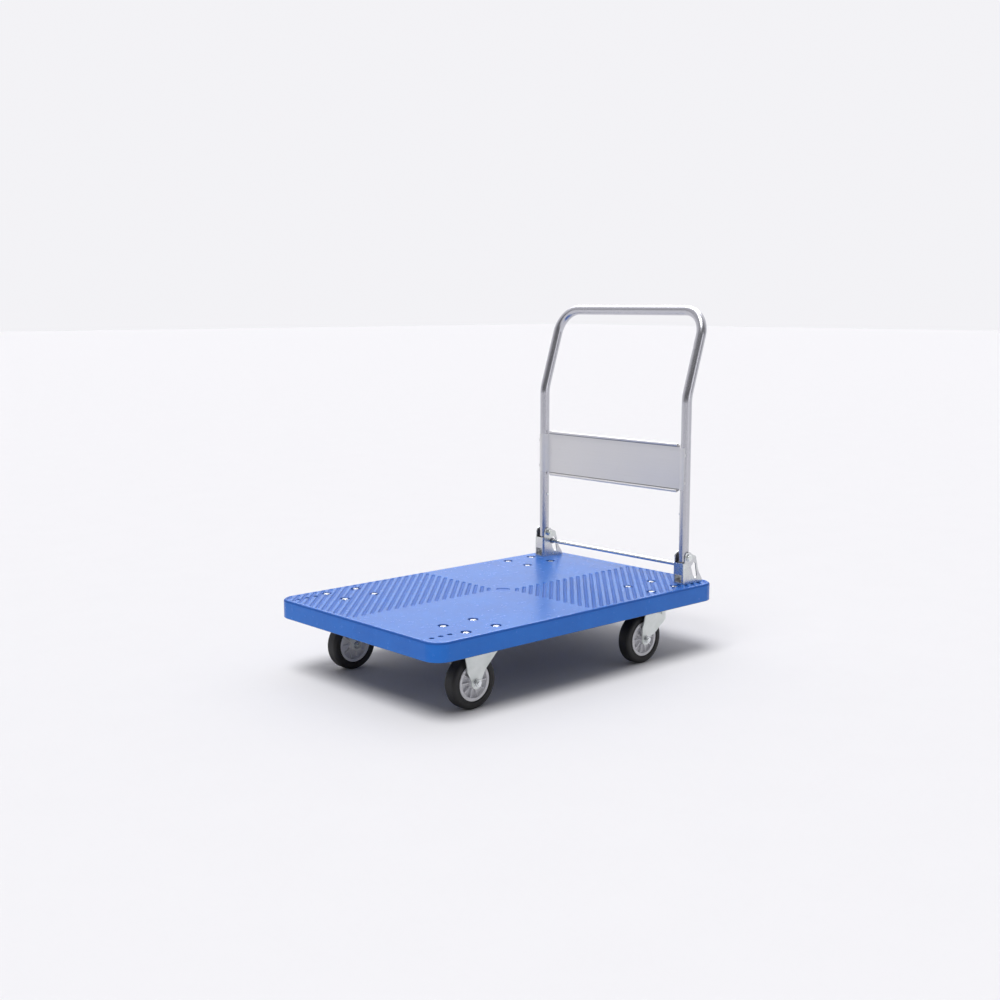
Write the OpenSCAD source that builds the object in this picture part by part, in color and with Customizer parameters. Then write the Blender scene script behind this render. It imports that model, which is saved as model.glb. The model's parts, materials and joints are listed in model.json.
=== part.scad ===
// Folding platform cart: a moulded deck on two fixed and two swivel casters,
// with a tubular push handle that folds down over the deck.
// +X points to the handle end, +Z up; the floor is z = 0.

/* [Deck] */
// Length of the deck, free end to handle end
deck_l = 930; // [810:10:1100]
// Width of the deck
deck_w = 600; // [540:10:760]
// Height of the moulded skirt
deck_h = 45; // [42:1:55]
// Corner radius in plan
deck_r = 40; // [30:1:60]
// Thickness of the top skin and the skirt
deck_t = 4; // [3:0.5:5]
// Distance between the anti-slip grooves
groove_pitch = 17; // [14:0.5:24]
// Depth of the anti-slip grooves
groove_deep = 1.5; // [1:0.25:2]

/* [Handle] */
// Outside diameter of the handle tube
tube_d = 25.4; // [22:0.2:28]
// Wall of the handle tube
tube_t = 1.6; // [1.2:0.1:2]
// Distance from the deck's side to the tube's centre line
tube_inset = 47.5; // [44:0.5:70]
// Height of the pivot above the deck
pivot_rise = 67.5; // [66:0.5:76]
// Height above the deck where the uprights bend back
kink_rise = 471; // [435:2:565]
// Height of the push bar above the deck
bar_rise = 686; // [656:2:866]
// How far the push bar sits behind the uprights
bar_back = 69; // [30:1:110]
// Bend radius of the two upper corners
corner_r = 65; // [50:1:100]

/* [Panel] */
// Height of the panel's lower edge above the deck
panel_rise = 234; // [220:1:265]
// Height of the panel between its rolled edges
panel_h = 117; // [80:1:160]
// Sheet thickness of the panel
panel_t = 1.5; // [1:0.25:2]

/* [Casters] */
// Diameter of the tyres
wheel_d = 125; // [110:5:150]
// Width of the tyres
wheel_w = 36; // [30:1:38]
// Distance from the deck's end to the centre of a caster plate
caster_in_x = 161; // [135:1:195]
// Distance from the deck's side to the centre of a caster plate
caster_in_y = 78; // [76:1:110]
// Distance of the swivel axle from its kingpin
trail = 43; // [34:1:46]

/* [Hidden] */
$fn = 64;
hex = 6;
eps = 0.01;
sheet = 3;
slack = 0.3;
run_gap = 0.06;
bend_over = 1;
bend_swell = 0.1;

// Heights
wheel_r = wheel_d / 2;
tyre_gap = 18;
race_h = 11;
caster_h = wheel_d + tyre_gap + sheet + race_h + sheet;
boss_h = 28.5;
deck_top = caster_h + boss_h;
deck_low = deck_top - deck_h;
plate_low = caster_h - sheet;
crown_low = wheel_d + tyre_gap;
crown_top = crown_low + sheet;

// Deck
edge_r = 6;
rib_t = 3;
rib_deep = 19;
rib_pitch = 75;
border = 8;
cross_w = 24;
disc_r = 18;
disc_deep = 1;

// Fixings
bolt_r = 4;
bolt_hole_r = 4.2;
bolt_head_r = 7.5;
bolt_head_h = 5.3;
nut_h = 6.5;
washer_r = 8.5;
washer_t = 1.6;
pocket_r = 12.5;
pocket_deep = 8;
boss_r = 14.5;
hole_dx = 44;
hole_dy = 38.5;
bolt_tip = plate_low - nut_h - 2;

// Handle brackets
tube_r = tube_d / 2;
tube_y = deck_w / 2 - tube_inset;
tube_end = 74;
tube_x = deck_l / 2 - tube_end;
pivot_z = deck_top + pivot_rise;
chan_in = tube_r + 2.3;
chan_t = 2.5;
chan_out = chan_in + chan_t;
chan_bend = 5;
chan_front = -20;
chan_foot = 53;
base_end = 55;
web_top = -tube_r - slack;
window_h = 20;
window_w = 22;
lug_r = 14;
lobe_pad = [20, -5];
lobe_pad_r = 9;
side_edge = [[25, 2.2], [29, -6], [33, -18], [36, -31], [41, -43], [48, -53]];
toe_h = 7.5;
pivot_r = 5;
pivot_head_r = 10;
pivot_head_h = 4.5;
pivot_step = 2;
pivot_tail = 2;
row_pitch = 25;
row_end = 27.5;
row_boss_r = 10;
seat_margin = 2;
seat_line = 1;
row_tip = deck_top - boss_h - nut_h - 1;
spacer_r = 11;
spacer_lap = 5;

// Lock bar, measured from the pivot
bar_r = 5;
bar_at = [14.5, -25];
bar_tilt = 20.5;
bar_travel = 20;
slot_r = bar_r + slack;
lobe_r = 6.3;
lobe_top = [20.5, -20];
lobe_low = [26, -48];
bar_end = 10;
clip_r = 8;
clip_t = 1;
spring_r = 4;
wire_r = 0.5;
spring_turns = 6;
spring_lift = 1.8;
foot_end = tube_r + 10.8;

// Handle
seam_rise = 188;
seam_z = deck_top + seam_rise;
spigot_l = 45;
spigot_r = tube_r - tube_t - 0.05;
kink_z = deck_top + kink_rise;
bar_z = deck_top + bar_rise;
lean = atan2(bar_back, bar_z - kink_z);
lean_l = norm([bar_back, bar_z - kink_z]);
kink_r = 90;
kink_cut = kink_r * tan(lean / 2);
joint_screw_r = 2;
joint_head_r = 4;
joint_head_h = 2.4;

// Panel
wrap_r = tube_r + 2 * bend_swell + panel_t / 2;
fold_r = 6;
fold_y = tube_y - sqrt(wrap_r * wrap_r + 2 * wrap_r * fold_r);
fold_a = atan2(tube_y - fold_y, fold_r);
wrap_over = 31;
curl_r = 3.6;
curl_hole_r = 2;
curl_out = 2;
wrap_trim = 5;
weld_r = 2;
weld_l = 7;

// Casters
plate_l = 104;
plate_w = 106;
plate_r = 8;
leg_gap = wheel_w / 2 + 2.5;
leg_out = leg_gap + sheet;
leg_knee = wheel_r + 26;
eye_r = 14.5;
eye_lift = 4;
fork_nose = 13;
fork_neck = [18, 34];
fork_waist = [-6, 14];
back_h = 22;
rigid_half = plate_l / 2;
rigid_edge = 18;
crown_r = 37;
race_r = 31;
race_in = 21;
ball_h = 5;
ring_gap = 2;
ring_h = 1.5;
pin_r = 6;
pin_head_r = 11;
pin_head_h = 6;
axle_r = 5;
axle_head_r = 8.5;
axle_head_h = 6.5;
axle_nut_h = 8;
collar_r = 10;
collar_t = 1.5;
hub_r = 41;
hub_lip_r = 43.5;
hub_lip_t = 1.5;
rim_t = 5;
hub_w = wheel_w - 6;
web_t = 14;
spoke_t = 2.5;
spokes = 10;
boss_end = leg_gap - 0.5;
hub_boss_r = 14;
bearing_r = 9;
shoulder_r = 9;
bead_r = 45;

caster_x = deck_l / 2 - caster_in_x;
caster_y = deck_w / 2 - caster_in_y;
rear_face = tube_x + bar_back + tube_r;
shift_x = -(rear_face - deck_l / 2) / 2;

deck_blue = [0.10, 0.38, 0.85];
zinc = [0.78, 0.80, 0.80];
satin = [0.74, 0.75, 0.78];
rubber_black = [0.06, 0.06, 0.07];
hub_grey = [0.80, 0.80, 0.82];
dark_grey = [0.20, 0.20, 0.22];

// ---------- helpers ----------

// Rectangle with round corners, centred
module round_rect(l, w, r) {
  square([l - 2 * r, w], center = true);
  square([l, w - 2 * r], center = true);
  for (sx = [-1, 1], sy = [-1, 1])
    translate([sx * (l / 2 - r), sy * (w / 2 - r)])
      circle(r);
}

// Solid stadium between two points of the plane
module stadium(a, b, r) {
  translate(a) circle(r);
  translate(b) circle(r);
  translate(a)
    rotate(atan2(b[1] - a[1], b[0] - a[0]))
      translate([0, -r])
        square([norm(b - a), 2 * r]);
}

// Flat ring or tube standing on the plane
module ring(r_out, r_in, h) {
  difference() {
    cylinder(r = r_out, h = h);
    translate([0, 0, -eps])
      cylinder(r = r_in, h = h + 2 * eps);
  }
}

// Draws a profile of the XZ plane with a thickness w along Y, centred
module along_y(w) {
  translate([0, w / 2, 0])
    rotate([90, 0, 0])
      linear_extrude(w)
        children();
}

// Draws a profile of the YZ plane with a thickness w along X, centred
module along_x(w) {
  translate([-w / 2, 0, 0])
    rotate([90, 0, 90])
      linear_extrude(w)
        children();
}

module both_sides() {
  children();
  mirror([0, 1, 0]) children();
}

// Part of a bent round bar; it starts on +X and sweeps towards +Y.
// It is a hair thicker than the straight lengths and reaches a little over them.
module bend(r_path, angle, r) {
  over = bend_over / r_path * 180 / PI;
  rotate([0, 0, -over])
    rotate_extrude(angle = angle + 2 * over)
      translate([r_path, 0])
        circle(r + bend_swell);
}

// Half turn of thin wire, in flat steps
module half_coil(r_path, r) {
  rotate_extrude(angle = 180, $fn = 12)
    translate([r_path, 0])
      circle(r, $fn = hex);
}

module hex_bolt(r, length, head_r, head_h) {
  cylinder(r = head_r, h = head_h, $fn = hex);
  translate([0, 0, -length])
    cylinder(r = r, h = length + eps);
}

module hex_nut(r, head_r, h) {
  difference() {
    cylinder(r = head_r, h = h, $fn = hex);
    translate([0, 0, -eps])
      cylinder(r = r, h = h + 2 * eps);
  }
}

module at_casters() {
  for (sx = [-1, 1], sy = [-1, 1])
    translate([sx * caster_x, sy * caster_y, 0])
      children();
}

module at_plate_holes() {
  for (sx = [-1, 1], sy = [-1, 1])
    translate([sx * hole_dx, sy * hole_dy, 0])
      children();
}

module at_rows(end) {
  for (sy = [-1, 1], i = [0:2])
    translate([end * (deck_l / 2 - row_end - i * row_pitch), sy * tube_y, 0])
      children();
}

module at_pivots() {
  for (sy = [-1, 1])
    translate([tube_x, sy * tube_y, pivot_z])
      children();
}

// ---------- deck ----------

// Slab with round corners and a rounded upper edge
module deck_block() {
  translate([0, 0, deck_low]) {
    linear_extrude(deck_h - edge_r)
      round_rect(deck_l, deck_w, deck_r);
    linear_extrude(deck_h)
      round_rect(deck_l - 2 * edge_r, deck_w - 2 * edge_r, deck_r - edge_r);
  }
  translate([0, 0, deck_top - edge_r]) {
    for (sx = [-1, 1], sy = [-1, 1])
      translate([sx * (deck_l / 2 - deck_r), sy * (deck_w / 2 - deck_r), 0])
        rotate_extrude()
          translate([deck_r - edge_r, 0])
            intersection() {
              circle(edge_r);
              square(edge_r);
            }
    for (sy = [-1, 1])
      translate([0, sy * (deck_w / 2 - edge_r), 0])
        rotate([0, 90, 0])
          cylinder(r = edge_r, h = deck_l - 2 * deck_r, center = true);
    for (sx = [-1, 1])
      translate([sx * (deck_l / 2 - edge_r), 0, 0])
        rotate([90, 0, 0])
          cylinder(r = edge_r, h = deck_w - 2 * deck_r, center = true);
  }
}

// Stiffening ribs and screw bosses on the underside
module deck_underside() {
  low = deck_top - deck_t - rib_deep;
  nx = floor((deck_l / 2 - deck_r) / rib_pitch);
  ny = floor((deck_w / 2 - deck_r) / rib_pitch);
  for (i = [-nx:nx])
    translate([i * rib_pitch, 0, low + rib_deep / 2])
      cube([rib_t, deck_w - deck_t, rib_deep + deck_t], center = true);
  for (i = [-ny:ny])
    translate([0, i * rib_pitch, low + rib_deep / 2])
      cube([deck_l - deck_t, rib_t, rib_deep + deck_t], center = true);
  at_casters() at_plate_holes()
    translate([0, 0, caster_h])
      cylinder(r = boss_r, h = boss_h - deck_t / 2);
  for (end = [-1, 1])
    at_rows(end)
      translate([0, 0, caster_h])
        cylinder(r = row_boss_r, h = boss_h - deck_t / 2);
}

// Fine moulded line round the seat of one bracket, open at the deck's end
module seat_lines() {
  for (sy = [-1, 1])
    translate([tube_x, sy * tube_y, deck_top])
      linear_extrude(2 * seat_line, center = true)
        difference() {
          translate([chan_front - seat_margin - seat_line, -chan_out - seat_margin - seat_line])
            square([deck_l, 2 * (chan_out + seat_margin + seat_line)]);
          translate([chan_front - seat_margin, -chan_out - seat_margin])
            square([2 * deck_l, 2 * (chan_out + seat_margin)]);
        }
}

// Diagonal grooves over one quarter of the deck
module groove_field(cx, cy) {
  fx = deck_l / 2 - border - cross_w / 2;
  fy = deck_w / 2 - border - cross_w / 2;
  n = ceil((fx + fy) / 2 / groove_pitch);
  intersection() {
    translate([cx, cy, deck_top])
      linear_extrude(2 * groove_deep, center = true)
        round_rect(fx, fy, deck_r - border - cross_w / 2);
    for (i = [-n:n])
      translate([cx, cy, deck_top])
        rotate([0, 0, 45])
          translate([0, i * groove_pitch, 0])
            cube([fx + fy, groove_pitch / 2, 2 * groove_deep], center = true);
  }
}

module deck_shell() {
  qx = deck_l / 4 - (border - cross_w / 2) / 2;
  qy = deck_w / 4 - (border - cross_w / 2) / 2;
  color(deck_blue)
    difference() {
      union() {
        difference() {
          deck_block();
          translate([0, 0, deck_low - eps])
            linear_extrude(deck_h - deck_t + eps)
              round_rect(deck_l - 2 * deck_t, deck_w - 2 * deck_t, deck_r - deck_t);
        }
        intersection() {
          deck_underside();
          translate([0, 0, deck_low])
            linear_extrude(deck_h - deck_t / 2)
              round_rect(deck_l - deck_t, deck_w - deck_t, deck_r - deck_t / 2);
        }
      }
      groove_field(-qx, qy);
      groove_field(qx, -qy);
      seat_lines();
      translate([0, 0, deck_top - disc_deep])
        cylinder(r = disc_r, h = 2 * disc_deep);
      at_casters() at_plate_holes() {
        translate([0, 0, caster_h - 1])
          cylinder(r = bolt_hole_r, h = boss_h);
        translate([0, 0, deck_top - pocket_deep])
          cylinder(r = pocket_r, h = 2 * pocket_deep);
      }
      for (end = [-1, 1])
        at_rows(end)
          translate([0, 0, caster_h - 1])
            cylinder(r = bolt_hole_r, h = boss_h + 2);
    }
}

module caster_washers() {
  color(zinc)
    at_casters() at_plate_holes()
      translate([0, 0, deck_top - pocket_deep])
        ring(washer_r, bolt_hole_r, washer_t);
}

module caster_bolts() {
  seat = deck_top - pocket_deep + washer_t;
  color(zinc)
    at_casters() at_plate_holes()
      translate([0, 0, seat])
        hex_bolt(bolt_r, seat - bolt_tip, bolt_head_r, bolt_head_h);
}

module caster_nuts() {
  color(zinc)
    at_casters() at_plate_holes()
      translate([0, 0, plate_low - nut_h])
        hex_nut(bolt_r, bolt_head_r, nut_h);
}

// ---------- handle brackets ----------

module bracket_side_shape() {
  foot = -pivot_rise;
  circle(lug_r);
  translate(lobe_pad) circle(lobe_pad_r);
  polygon(concat(
    [
      [chan_front, foot], [chan_front, web_top], [chan_front + chan_bend, web_top],
      [-lug_r, 0], [0, lug_r - 1]
    ],
    side_edge,
    [[chan_foot, foot + toe_h], [chan_foot, foot]]
  ));
}

// Pressed channel round the foot of one upright
module bracket() {
  span = chan_foot - chan_front;
  color(zinc)
    difference() {
      union() {
        intersection() {
          translate([0, 0, -pivot_rise])
            linear_extrude(pivot_rise + lug_r)
              difference() {
                translate([chan_front + span, 0])
                  round_rect(2 * span, 2 * chan_out, chan_bend);
                translate([chan_front + chan_t + span, 0])
                  round_rect(2 * span, 2 * chan_in, chan_bend - chan_t);
              }
          along_y(2 * chan_out)
            bracket_side_shape();
        }
        translate([chan_front + chan_t / 2, -chan_in - chan_t / 2, -pivot_rise])
          cube([base_end - chan_front - chan_t / 2, 2 * chan_in + chan_t, sheet]);
      }
      along_y(3 * chan_out)
        union() {
          circle(pivot_r);
          stadium(bar_at, bar_at + bar_travel * [sin(bar_tilt), -cos(bar_tilt)], slot_r);
          stadium(lobe_top, lobe_low, lobe_r);
        }
      translate([chan_front - 1, -window_w / 2, sheet + 1 - pivot_rise])
        cube([chan_t + 2, window_w, window_h]);
      for (i = [0:2])
        translate([deck_l / 2 - row_end - i * row_pitch - tube_x, 0, -pivot_rise - 1])
          cylinder(r = bolt_hole_r, h = sheet + 2);
    }
}

module bracket_bolts() {
  color(zinc)
    at_rows(1)
      translate([0, 0, deck_top + sheet])
        hex_bolt(bolt_r, deck_top + sheet - row_tip, bolt_head_r, bolt_head_h);
}

module bracket_nuts() {
  color(zinc)
    at_rows(1)
      translate([0, 0, caster_h - nut_h])
        hex_nut(bolt_r, bolt_head_r, nut_h);
}

module stop_pads() {
  front = chan_front + chan_t;
  low = window_h + 2 * sheet - pivot_rise;
  color(dark_grey)
    at_pivots()
      translate([front, -chan_in + chan_bend, low])
        cube([-tube_r - slack - front, 2 * (chan_in - chan_bend), web_top - low]);
}

// Pivot bolts with the head on the outer face of each bracket
module pivot_bolts() {
  color(zinc)
    both_sides()
      translate([tube_x, -tube_y - chan_out, pivot_z])
        rotate([90, 0, 0]) {
          cylinder(r = pivot_head_r, h = pivot_head_h / 2);
          cylinder(r = pivot_head_r - pivot_step, h = pivot_head_h);
          translate([0, 0, -2 * chan_out - nut_h - pivot_tail])
            cylinder(r = pivot_r, h = 2 * chan_out + nut_h + pivot_tail + eps);
        }
}

module pivot_nuts() {
  color(zinc)
    both_sides()
      translate([tube_x, -tube_y + chan_out + nut_h, pivot_z])
        rotate([90, 0, 0])
          hex_nut(pivot_r, bolt_head_r + 1, nut_h);
}

// ---------- handle ----------

// Centre-line solid of the bent hoop, from the seam over the push bar and back
module hoop_solid(r) {
  both_sides()
    translate([tube_x, tube_y, 0]) {
      translate([0, 0, seam_z])
        cylinder(r = r, h = kink_z - kink_cut - seam_z);
      translate([kink_r, 0, kink_z - kink_cut])
        rotate([90, 0, 180])
          bend(kink_r, lean, r);
      translate([0, 0, kink_z])
        rotate([0, lean, 0]) {
          translate([0, 0, kink_cut])
            cylinder(r = r, h = lean_l - corner_r - kink_cut);
          translate([0, -corner_r, lean_l - corner_r])
            rotate([90, 0, 90])
              bend(corner_r, 90, r);
        }
    }
  translate([tube_x + bar_back, 0, bar_z])
    rotate([90, 0, 0])
      cylinder(r = r, h = 2 * (tube_y - corner_r), center = true);
}

module joint_holes(r) {
  both_sides()
    translate([tube_x, tube_y, seam_z - spigot_l / 4])
      rotate([90, 0, 0])
        cylinder(r = r, h = 2 * tube_r);
}

module handle_hoop() {
  color(satin)
    difference() {
      union() {
        hoop_solid(tube_r);
        for (sy = [-1, 1])
          translate([tube_x, sy * tube_y, seam_z - spigot_l])
            cylinder(r = spigot_r, h = spigot_l + tube_r);
      }
      hoop_solid(tube_r - 2 * tube_t);
      for (sy = [-1, 1])
        translate([tube_x, sy * tube_y, seam_z - spigot_l - 1])
          cylinder(r = tube_r - 2 * tube_t, h = spigot_l + 2);
      joint_holes(joint_screw_r);
    }
}

// Lower tube of one upright, rounded about the pivot at its foot
module handle_leg() {
  color(satin)
    difference() {
      union() {
        translate([tube_x, tube_y, pivot_z])
          cylinder(r = tube_r, h = seam_z - pivot_z);
        translate([tube_x, tube_y, pivot_z])
          intersection() {
            translate([0, 0, -foot_end])
              cylinder(r = tube_r, h = foot_end);
            rotate([90, 0, 0])
              cylinder(r = foot_end, h = 2 * tube_d, center = true);
          }
      }
      translate([tube_x, tube_y, pivot_z - foot_end - 1])
        cylinder(r = tube_r - tube_t, h = seam_z - pivot_z + foot_end + 2);
      translate([tube_x, tube_y, pivot_z])
        rotate([90, 0, 0])
          cylinder(r = pivot_r + run_gap, h = 2 * tube_d, center = true);
      joint_holes(joint_screw_r);
    }
}

module joint_screws() {
  color(zinc)
    both_sides()
      translate([tube_x, tube_y - tube_r, seam_z - spigot_l / 4])
        rotate([90, 0, 0]) {
          translate([0, 0, -2 * tube_t - 1])
            cylinder(r = joint_screw_r - run_gap, h = 2 * tube_t + 1 + eps);
          cylinder(r = joint_head_r, h = joint_head_h);
        }
}

module pivot_spacers() {
  color(dark_grey)
    both_sides()
      translate([tube_x, tube_y, pivot_z])
        for (side = [-1, 1])
          rotate([90, 0, 0])
            difference() {
              translate([0, 0, side * (tube_r + chan_in - slack) / 2])
                cylinder(r = spacer_r, h = chan_in - slack - tube_r + spacer_lap, center = true);
              cylinder(r = pivot_r + run_gap, h = 3 * chan_in, center = true);
              translate([0, 0, side * (chan_in + tube_r - slack)])
                cylinder(r = 2 * spacer_r, h = 2 * tube_r, center = true);
              rotate([90, 0, 0])
                cylinder(r = tube_r + eps, h = 3 * spacer_r, center = true);
            }
}

// Sheet panel; each end folds forward and wraps the front of its upright
module handle_panel() {
  z0 = deck_top + panel_rise;
  end_h = panel_h - 2 * wrap_trim;
  over = bend_over / fold_r * 45 / PI;
  color(satin)
    difference() {
      union() {
        translate([tube_x - panel_t / 2, -fold_y, z0])
          cube([panel_t, 2 * fold_y, panel_h]);
        for (z = [z0, z0 + panel_h])
          translate([tube_x - curl_out, 0, z])
            rotate([90, 0, 0])
              cylinder(r = curl_r, h = 2 * fold_y - 2 * fold_r, center = true);
        both_sides() {
          translate([tube_x - fold_r, fold_y, z0 + wrap_trim])
            rotate([0, 0, -over])
              rotate_extrude(angle = fold_a + 2 * over)
                translate([fold_r - panel_t / 2 - bend_swell, 0])
                  square([panel_t + 2 * bend_swell, end_h]);
          translate([tube_x, tube_y, z0 + wrap_trim + 1])
            rotate([0, 0, 180 - wrap_over])
              rotate_extrude(angle = wrap_over + fold_a)
                translate([wrap_r - panel_t / 2, 0])
                  square([panel_t, end_h - 2]);
          for (k = [0.2, 0.8])
            translate([tube_x, tube_y, z0 + k * panel_h])
              rotate([0, 0, 180 - wrap_over])
                translate([wrap_r, 0, -weld_l / 2])
                  cylinder(r = weld_r, h = weld_l);
        }
      }
      for (z = [z0, z0 + panel_h])
        translate([tube_x - curl_out, 0, z])
          rotate([90, 0, 0])
            cylinder(r = curl_hole_r, h = 2 * fold_y, center = true);
      for (sy = [-1, 1])
        translate([tube_x, sy * tube_y, z0])
          cylinder(r = tube_r + bend_swell / 2, h = panel_h);
    }
}

// ---------- lock bar ----------

module at_lock() {
  translate([tube_x + bar_at[0], 0, pivot_z + bar_at[1]])
    children();
}

module lock_bar() {
  color(zinc)
    at_lock()
      rotate([90, 0, 0])
        cylinder(r = bar_r, h = 2 * (tube_y + bar_end), center = true);
}

// Retaining clips on both sides of each inner bracket wall
module lock_clips() {
  color(dark_grey)
    at_lock()
      both_sides()
        for (y = [tube_y - chan_out - slack - clip_t, tube_y - chan_in + slack])
          translate([0, y + clip_t, 0])
            rotate([90, 0, 0])
              ring(clip_r, bar_r, clip_t);
}

// Coil spring between a bracket bolt and the lock bar
module lock_spring() {
  low = [deck_l / 2 - row_end - row_pitch - tube_x, sheet + bolt_head_h + spring_lift - pivot_rise];
  run = bar_at - low;
  angle = atan2(run[0], run[1]);
  rise = (norm(run) - bar_r - 2 * wire_r) / (2 * spring_turns);
  tilt = asin(rise / (2 * spring_r));
  color(dark_grey)
    translate([tube_x + low[0], tube_y, pivot_z + low[1]])
      rotate([0, angle, 0])
        for (i = [0:2 * spring_turns - 1])
          translate([0, 0, (i + 0.5) * rise])
            rotate([0, (i % 2 == 0) ? -tilt : tilt, 0])
              rotate([0, 0, 180 * i])
                half_coil(spring_r, wire_r);
}

// ---------- casters ----------

module top_plate() {
  translate([0, 0, plate_low])
    linear_extrude(sheet)
      difference() {
        round_rect(plate_l, plate_w, plate_r);
        at_plate_holes() circle(bolt_hole_r);
      }
}

// Cross-section of one fork leg, folded inwards above the tyre
module leg_section(top_y, top_z) {
  polygon([
    [leg_gap, wheel_r - 2 * eye_r], [leg_out, wheel_r - 2 * eye_r], [leg_out, leg_knee],
    [top_y, top_z], [top_y - sheet, top_z], [leg_gap, leg_knee + 1]
  ]);
}

module rigid_fork() {
  color(zinc) {
    top_plate();
    difference() {
      intersection() {
        along_x(2 * plate_l) {
          leg_section(plate_w / 2, caster_h);
          mirror([1, 0]) leg_section(plate_w / 2, caster_h);
        }
        along_y(2 * plate_w)
          union() {
            translate([0, wheel_r]) circle(eye_r);
            polygon([
              [-rigid_half, caster_h], [rigid_half, caster_h],
              [rigid_half, caster_h - rigid_edge], [eye_r, wheel_r + eye_lift],
              [-eye_r, wheel_r + eye_lift], [-rigid_half, caster_h - rigid_edge]
            ]);
          }
      }
      axle_hole(0);
    }
  }
}

module axle_hole(x) {
  translate([x, 0, wheel_r])
    rotate([90, 0, 0])
      cylinder(r = axle_r, h = 2 * plate_w, center = true);
}

module swivel_plan(r) {
  circle(r);
  translate([-trail - 2 * eye_r, -r])
    square([trail + 2 * eye_r, 2 * r]);
}

// Deep-drawn swivel fork, round at the back
module swivel_fork() {
  color(zinc) {
    difference() {
      intersection() {
        linear_extrude(crown_top)
          swivel_plan(crown_r);
        along_y(3 * crown_r)
          union() {
            translate([-trail, wheel_r]) circle(eye_r);
            polygon([
              [-trail - fork_nose, crown_top], [crown_r, crown_top],
              [crown_r, crown_low - back_h], [fork_neck[0], wheel_r + fork_neck[1]],
              [fork_waist[0], wheel_r + fork_waist[1]],
              [-trail + eye_r, wheel_r + eye_lift], [-trail - eye_r, wheel_r + eye_lift]
            ]);
          }
        union() {
          along_x(4 * crown_r) {
            translate([-crown_r, crown_low]) square([2 * crown_r, sheet]);
            leg_section(crown_r, crown_top);
            mirror([1, 0]) leg_section(crown_r, crown_top);
          }
          translate([0, 0, crown_low - back_h])
            linear_extrude(back_h + sheet / 2)
              intersection() {
                difference() {
                  circle(crown_r);
                  circle(crown_r - sheet);
                }
                translate([0, -crown_r]) square([crown_r, 2 * crown_r]);
              }
        }
      }
      axle_hole(-trail);
      translate([0, 0, crown_low - 1])
        cylinder(r = pin_r + run_gap, h = sheet + 2);
    }
    translate([0, 0, crown_top - eps])
      ring(race_in - ring_gap, pin_head_r + ring_gap, ring_h);
  }
}

module swivel_plate() {
  color(zinc) {
    difference() {
      union() {
        top_plate();
        translate([0, 0, crown_top + ball_h])
          cylinder(r = race_r, h = plate_low - crown_top - ball_h + eps);
      }
      translate([0, 0, crown_top])
        cylinder(r = pin_r, h = race_h + 2 * sheet);
    }
  }
}

module ball_race() {
  color(zinc)
    translate([0, 0, crown_top])
      ring(race_r - 1, race_in, ball_h - slack);
}

module kingpin() {
  color(zinc) {
    translate([0, 0, crown_low - slack - pin_head_h])
      cylinder(r = pin_head_r, h = pin_head_h, $fn = hex);
    translate([0, 0, crown_low - slack - eps])
      cylinder(r = pin_r, h = caster_h - crown_low);
  }
}

module at_axle(x) {
  translate([x, 0, wheel_r])
    rotate([90, 0, 0])
      children();
}

// Axle bolt with its head on the +Y side
module axle(x) {
  color(zinc)
    at_axle(x) {
      translate([0, 0, -leg_out - axle_head_h])
        cylinder(r = axle_head_r, h = axle_head_h, $fn = hex);
      translate([0, 0, -leg_out - eps])
        cylinder(r = axle_r, h = 2 * leg_out + axle_nut_h + 2);
    }
}

module axle_nut(x) {
  color(zinc)
    at_axle(x)
      translate([0, 0, leg_out]) {
        ring(collar_r, axle_r, collar_t);
        translate([0, 0, collar_t - eps])
          hex_nut(axle_r, axle_head_r, axle_nut_h - collar_t);
      }
}

module tyre_section() {
  flat = wheel_w - 2 * shoulder_r;
  translate([hub_r, -hub_w / 2])
    square([bead_r - hub_r, hub_w]);
  translate([bead_r - eps, -wheel_w / 2])
    square([wheel_r - shoulder_r - bead_r + eps, wheel_w]);
  translate([wheel_r - shoulder_r - eps, -flat / 2])
    square([shoulder_r + eps, flat]);
  for (s = [-1, 1])
    translate([wheel_r - shoulder_r, s * flat / 2])
      circle(shoulder_r);
}

module tyre(x) {
  color(rubber_black)
    at_axle(x)
      rotate_extrude()
        tyre_section();
}

module hub(x) {
  color(hub_grey)
    at_axle(x)
      difference() {
        union() {
          rotate_extrude() {
            translate([hub_r - rim_t, -hub_w / 2 - hub_lip_t])
              square([rim_t, hub_w + 2 * hub_lip_t]);
            for (s = [-1, 1])
              translate([hub_r - rim_t, s * (hub_w + hub_lip_t) / 2 - hub_lip_t / 2])
                square([hub_lip_r - hub_r + rim_t, hub_lip_t]);
            translate([0, -web_t / 2])
              square([hub_r - rim_t + eps, web_t]);
            translate([0, -boss_end])
              square([hub_boss_r, 2 * boss_end]);
          }
          for (i = [0:spokes - 1])
            rotate([0, 0, i * 360 / spokes])
              translate([0, -spoke_t / 2, -hub_w / 2 + 1])
                cube([hub_r - rim_t + 1, spoke_t, hub_w - 2]);
        }
        translate([0, 0, -wheel_w])
          cylinder(r = bearing_r, h = 2 * wheel_w);
      }
}

module bearing(x) {
  color(dark_grey)
    at_axle(x)
      translate([0, 0, -boss_end])
        ring(bearing_r, axle_r + run_gap, 2 * boss_end);
}

// ---------- placing ----------

module place(x, y) {
  translate([shift_x + x, y, 0])
    children();
}

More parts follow.
